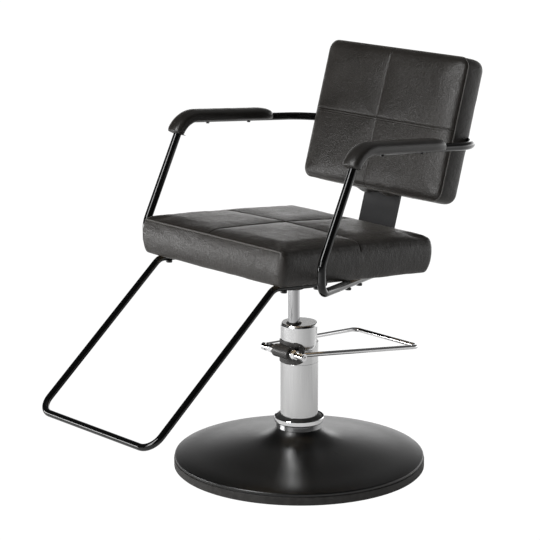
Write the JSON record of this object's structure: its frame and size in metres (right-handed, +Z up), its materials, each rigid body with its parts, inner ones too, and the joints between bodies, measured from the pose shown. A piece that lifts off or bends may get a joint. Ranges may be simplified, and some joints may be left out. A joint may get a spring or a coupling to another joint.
{
  "type": "styling chair",
  "caption": "Hydraulic salon styling chair: square padded seat and back, tube arms with pads, U-shaped footrest, chrome column with foot pedal, round domed base.",
  "frame": {"origin": "on the floor, at the middle of the round base, on the axis of the column", "axes": "+Z up, -Y to the front of the chair where the footrest is, +X to the sitter's left"},
  "size_m": [0.643, 1.0003, 0.9691],
  "materials": {
    "leather": "fine grained synthetic leather, soft sheen",
    "pad_leather": "moulded skin with a fine grain, satin",
    "gloss_black": "gloss black powder coat",
    "flat_black": "matt black powder coat",
    "satin_black": "satin black, smooth",
    "rim_rubber": "matt black rubber band",
    "rubber_black": "matt black rubber",
    "saddle_black": "dark grey moulded plastic, satin",
    "nylon_white": "natural nylon",
    "plug_black": "black moulded plastic",
    "chrome": "bright chrome",
    "satin_chrome": "satin chrome",
    "plain_steel": "bare machined steel",
    "black_bolts": "black zinc",
    "cast_plate": "rough grey iron, painted",
    "bronze": "sintered bronze",
    "foam": "open-cell upholstery foam, hidden",
    "plywood": "birch plywood"
  },
  "bodies": {
    "base": {"floor_mat": "rubber_black", "base_plate": "cast_plate", "rim_band": "rim_rubber", "base_cover": "satin_black", "column_flange": "plain_steel", "flange_bolts": "plain_steel", "base_collar": "chrome", "collar_gasket": "rubber_black", "column_tube": "satin_chrome", "pump_housing": "satin_chrome", "column_cap": "satin_chrome", "guide_bush": "bronze", "wiper_seal": "rubber_black", "pump_cylinder": "plain_steel", "valve_block": "cast_plate", "plunger_barrel": "plain_steel", "plunger_spring": "plain_steel", "pivot_saddle": "saddle_black", "pivot_bushes": "nylon_white"},
    "pedal": {"pivot_shaft": "chrome", "pedal_loop": "chrome", "pump_yoke": "chrome", "pivot_washers": "chrome", "pivot_nuts": "chrome"},
    "plunger": {"plunger": "plain_steel"},
    "piston": {"piston_head": "plain_steel", "piston_seal": "rubber_black", "thrust_washer": "bronze"},
    "seat": {"ram": "satin_chrome", "ram_nut": "plain_steel", "seat_socket": "gloss_black", "socket_bolts": "black_bolts", "mounting_plate": "flat_black", "mounting_bolts": "black_bolts", "seat_board": "plywood", "seat_foam": "foam", "seat_cover": "leather", "back_upright": "flat_black", "upright_bolts": "black_bolts", "back_board": "plywood", "back_bolts": "plain_steel", "back_foam": "foam", "back_cover": "leather", "arm_tube_left": "gloss_black", "arm_tube_right": "gloss_black", "arm_bolts": "black_bolts", "arm_plugs": "plug_black", "rail_joiner": "plain_steel", "rail_bolts": "black_bolts", "rail_spacers": "plug_black", "arm_pad_left": "pad_leather", "arm_pad_right": "pad_leather", "pad_screws": "black_bolts", "footrest_tube": "gloss_black", "footrest_bolts": "black_bolts", "footrest_plugs": "plug_black"}
  },
  "joints": [
    {"name": "lift", "type": "slide", "parent": "base", "child": "piston", "axis": [0, 0, 1], "range_m": [-0.075, 0.075]},
    {"name": "swivel", "type": "hinge", "parent": "piston", "child": "seat", "pos_m": [0, -0.018, 0.437], "axis": [0, 0, 1], "continuous": true},
    {"name": "pedal_pivot", "type": "hinge", "parent": "base", "child": "pedal", "pos_m": [0, -0.051, 0.288], "axis": [1, 0, 0], "range_deg": [-14, 0], "stiffness_Nm_per_rad": 8, "springref_deg": 20.05},
    {"name": "plunger_stroke", "type": "slide", "parent": "base", "child": "plunger", "axis": [0, 0, 1], "range_m": [-0.018, 0], "deforming": ["plunger_spring"]}
  ],
  "couplings": [
    {"joint": "plunger_stroke", "follows": "pedal_pivot", "m_per_rad": 0.071}
  ]
}
